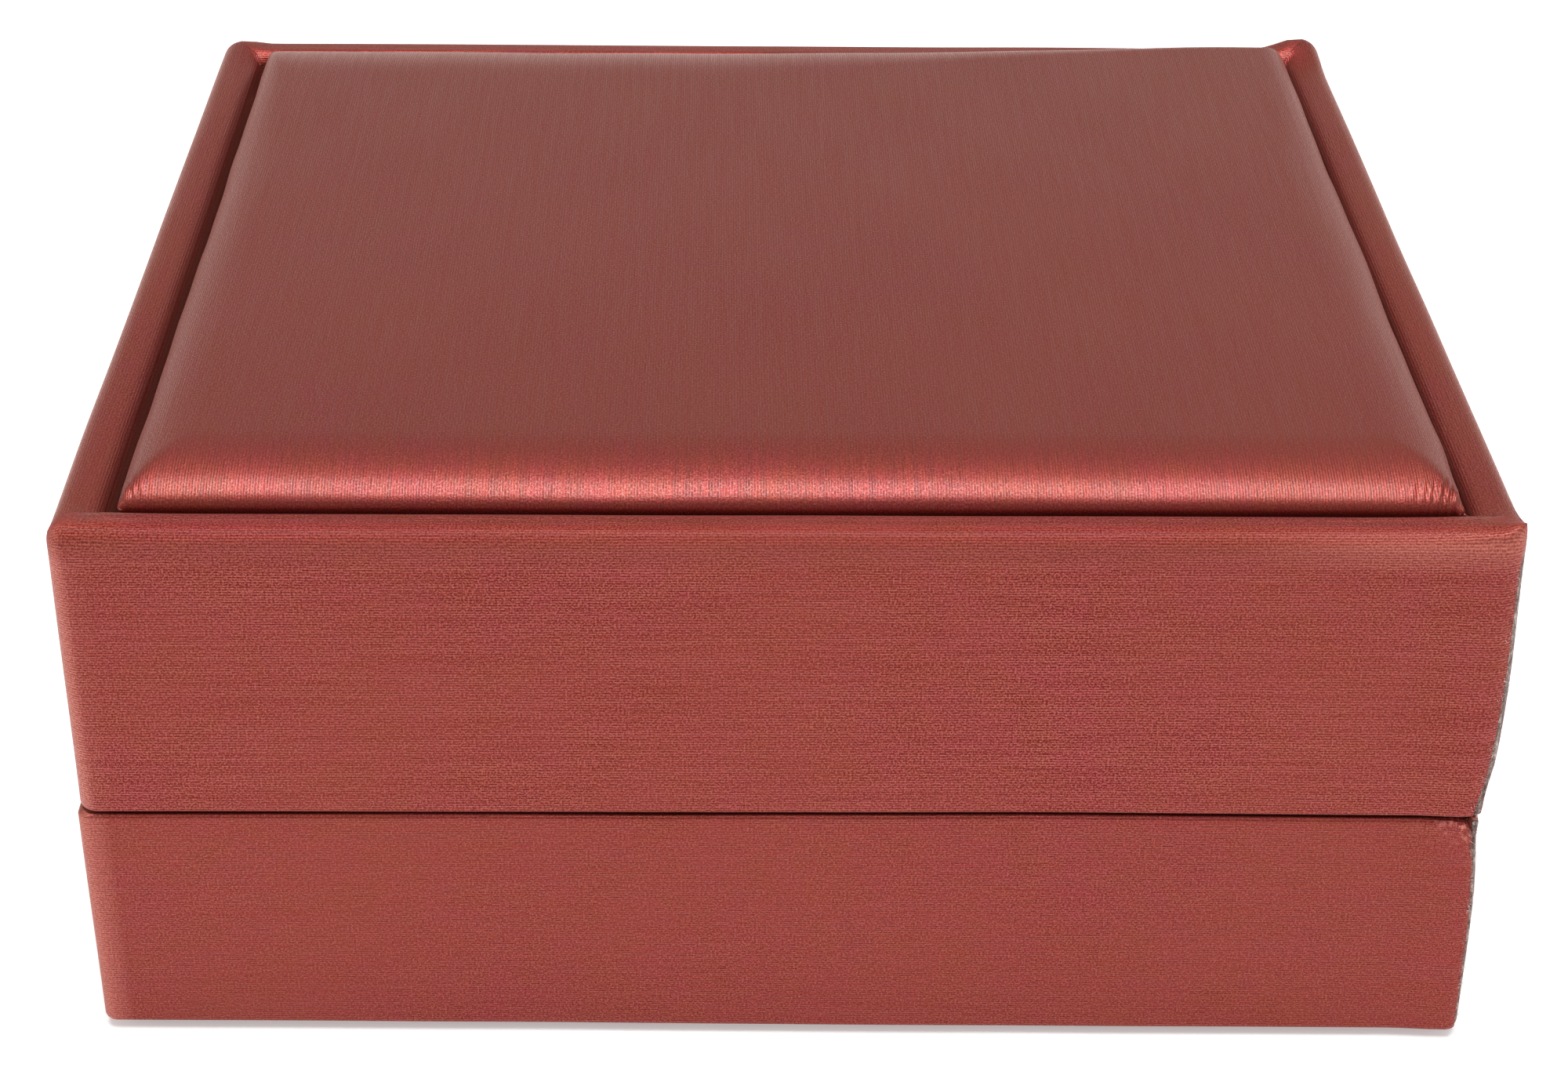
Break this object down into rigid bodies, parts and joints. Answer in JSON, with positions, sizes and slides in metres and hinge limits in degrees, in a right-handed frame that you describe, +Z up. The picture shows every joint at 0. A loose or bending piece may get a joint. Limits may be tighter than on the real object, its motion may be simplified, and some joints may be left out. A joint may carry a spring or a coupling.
{
  "type": "necklace box",
  "caption": "Rectangular necklace box with a padded, rimmed lid on sprung hinges, a flocked collar and a velvet insert that lifts out.",
  "frame": {"origin": "middle of the box's foot, on the surface that it stands on", "axes": "+X to the right along the width, +Y from the front to the hinged back, +Z up"},
  "size_m": [0.1, 0.0904, 0.0444],
  "materials": {
    "brushed_covering": "brushed metallic red leatherette paper with fine parallel ribs",
    "greyboard": "raw greyboard",
    "bottom_paper": "matte dark red paper",
    "flock": "ivory velvet flock",
    "foam": "open foam sheet",
    "satin": "ivory satin",
    "plated_steel": "plated sheet steel",
    "spring_steel": "bright spring steel"
  },
  "bodies": {
    "base": {"base_floor_board": "greyboard", "base_front_board": "greyboard", "base_back_board": "greyboard", "base_left_board": "greyboard", "base_right_board": "greyboard", "base_wrap": "brushed_covering", "base_bottom_sheet": "bottom_paper", "collar_front": "flock", "collar_back": "flock", "collar_left": "flock", "collar_right": "flock", "hinge_base_leaf_left": "plated_steel", "hinge_base_leaf_right": "plated_steel", "hinge_pin_left": "plated_steel", "hinge_pin_right": "plated_steel", "hinge_spring_left": "spring_steel", "hinge_spring_right": "spring_steel", "tack_base_left_inner": "plated_steel", "tack_base_left_outer": "plated_steel", "tack_base_right_inner": "plated_steel", "tack_base_right_outer": "plated_steel"},
    "lid": {"lid_front_board": "greyboard", "lid_back_board": "greyboard", "lid_left_board": "greyboard", "lid_right_board": "greyboard", "lid_deck_board": "greyboard", "lid_wrap": "brushed_covering", "lid_pad_board": "greyboard", "lid_pad_foam": "foam", "lid_pad_cover": "brushed_covering", "lid_lining_board": "greyboard", "lid_lining_foam": "foam", "lid_lining_satin": "satin", "hinge_lid_leaf_left": "plated_steel", "hinge_lid_leaf_right": "plated_steel", "tack_lid_left_inner": "plated_steel", "tack_lid_left_outer": "plated_steel", "tack_lid_right_inner": "plated_steel", "tack_lid_right_outer": "plated_steel"},
    "pad": {"pad_platform": "greyboard", "pad_foam": "foam", "pad_velvet": "flock"}
  },
  "joints": [
    {"name": "lid_hinge", "type": "hinge", "parent": "base", "child": "lid", "pos_m": [0, 0.04375, 0.01985], "axis": [-1, 0, 0], "range_deg": [0, 100], "deforming": ["hinge_spring_left", "hinge_spring_right"]},
    {"name": "pad_lift", "type": "slide", "parent": "base", "child": "pad", "axis": [0, 0, 1], "range_m": [0, 0.011]}
  ]
}
